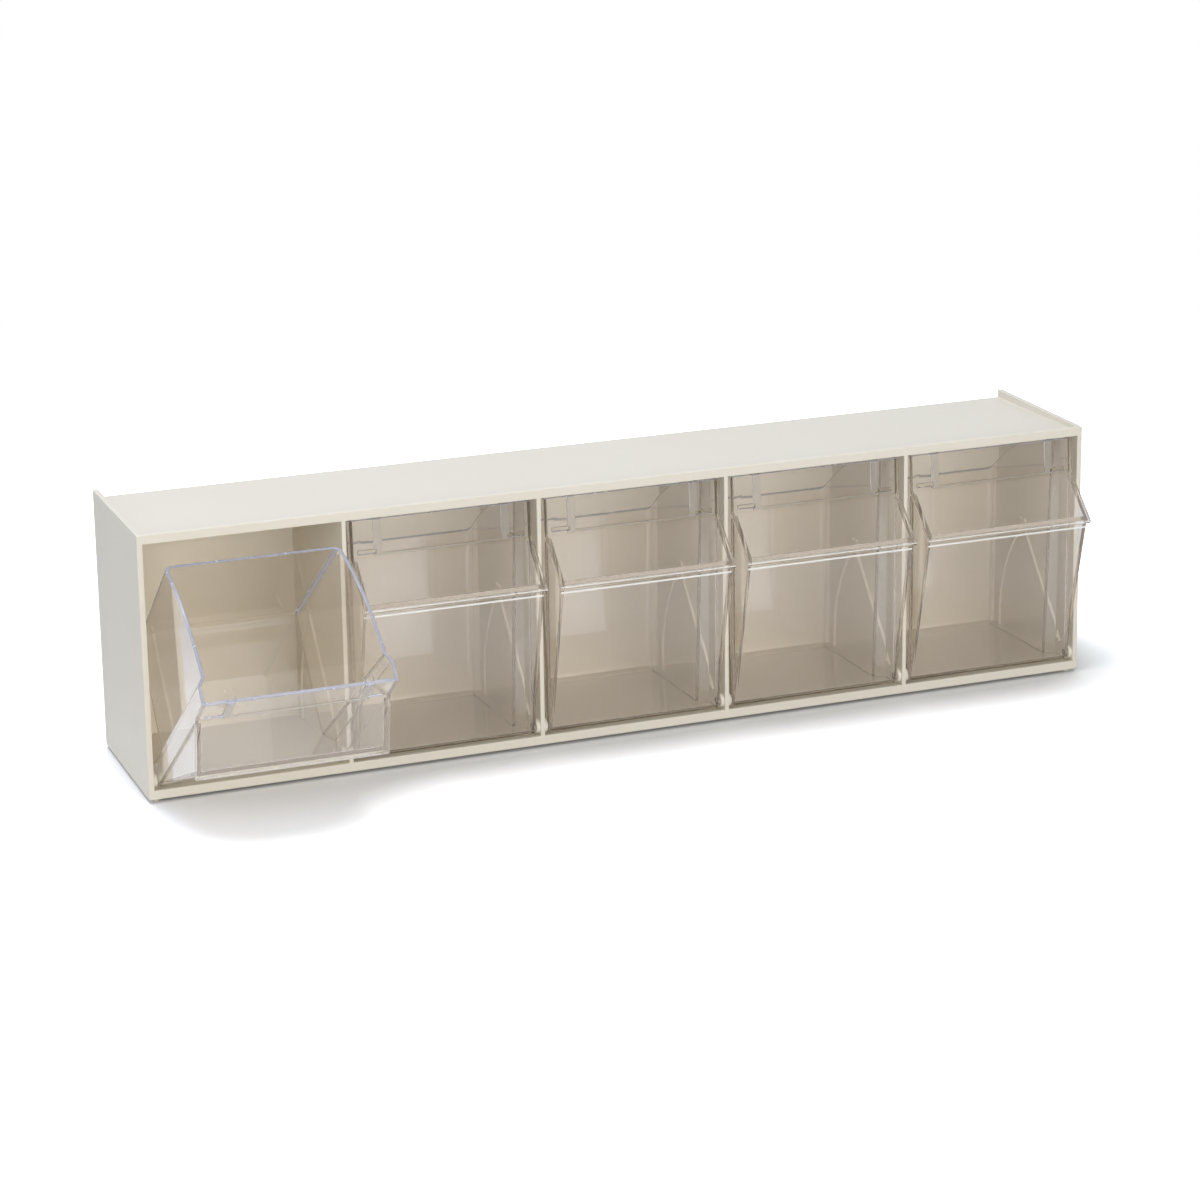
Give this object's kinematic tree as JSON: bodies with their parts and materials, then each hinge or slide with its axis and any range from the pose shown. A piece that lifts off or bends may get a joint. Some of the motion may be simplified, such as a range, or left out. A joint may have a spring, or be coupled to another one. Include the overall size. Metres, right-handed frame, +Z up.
{
  "type": "tilt-out bin rail",
  "caption": "Long shallow parts cabinet with a row of clear tilt-out bins in an ivory housing, each bin pivoting on moulded pins at its foot.",
  "frame": {"origin": "bottom centre of the outline with bin 1 open, on the plane the rails stand on", "axes": "+Z up, the bins face -Y, +X runs along the housing towards bin 5"},
  "size_m": [0.6, 0.2166, 0.16],
  "materials": {
    "ivory_plastic": "fine moulded satin",
    "clear_plastic": "polished and clear"
  },
  "bodies": {
    "case": {"housing": "ivory_plastic"},
    "bin_1_body": {"bin_1": "clear_plastic"},
    "bin_2_body": {"bin_2": "clear_plastic"},
    "bin_3_body": {"bin_3": "clear_plastic"},
    "bin_4_body": {"bin_4": "clear_plastic"},
    "bin_5_body": {"bin_5": "clear_plastic"}
  },
  "joints": [
    {"name": "bin_1_tilt", "type": "hinge", "parent": "case", "child": "bin_1_body", "pos_m": [-0.23832, 0.00739, 0.0127], "axis": [1, 0, 0], "range_deg": [-54, 0]},
    {"name": "bin_2_tilt", "type": "hinge", "parent": "case", "child": "bin_2_body", "pos_m": [-0.11916, 0.00739, 0.0127], "axis": [1, 0, 0], "range_deg": [0, 54]},
    {"name": "bin_3_tilt", "type": "hinge", "parent": "case", "child": "bin_3_body", "pos_m": [0, 0.00739, 0.0127], "axis": [1, 0, 0], "range_deg": [0, 54]},
    {"name": "bin_4_tilt", "type": "hinge", "parent": "case", "child": "bin_4_body", "pos_m": [0.11916, 0.00739, 0.0127], "axis": [1, 0, 0], "range_deg": [0, 54]},
    {"name": "bin_5_tilt", "type": "hinge", "parent": "case", "child": "bin_5_body", "pos_m": [0.23832, 0.00739, 0.0127], "axis": [1, 0, 0], "range_deg": [0, 54]}
  ]
}
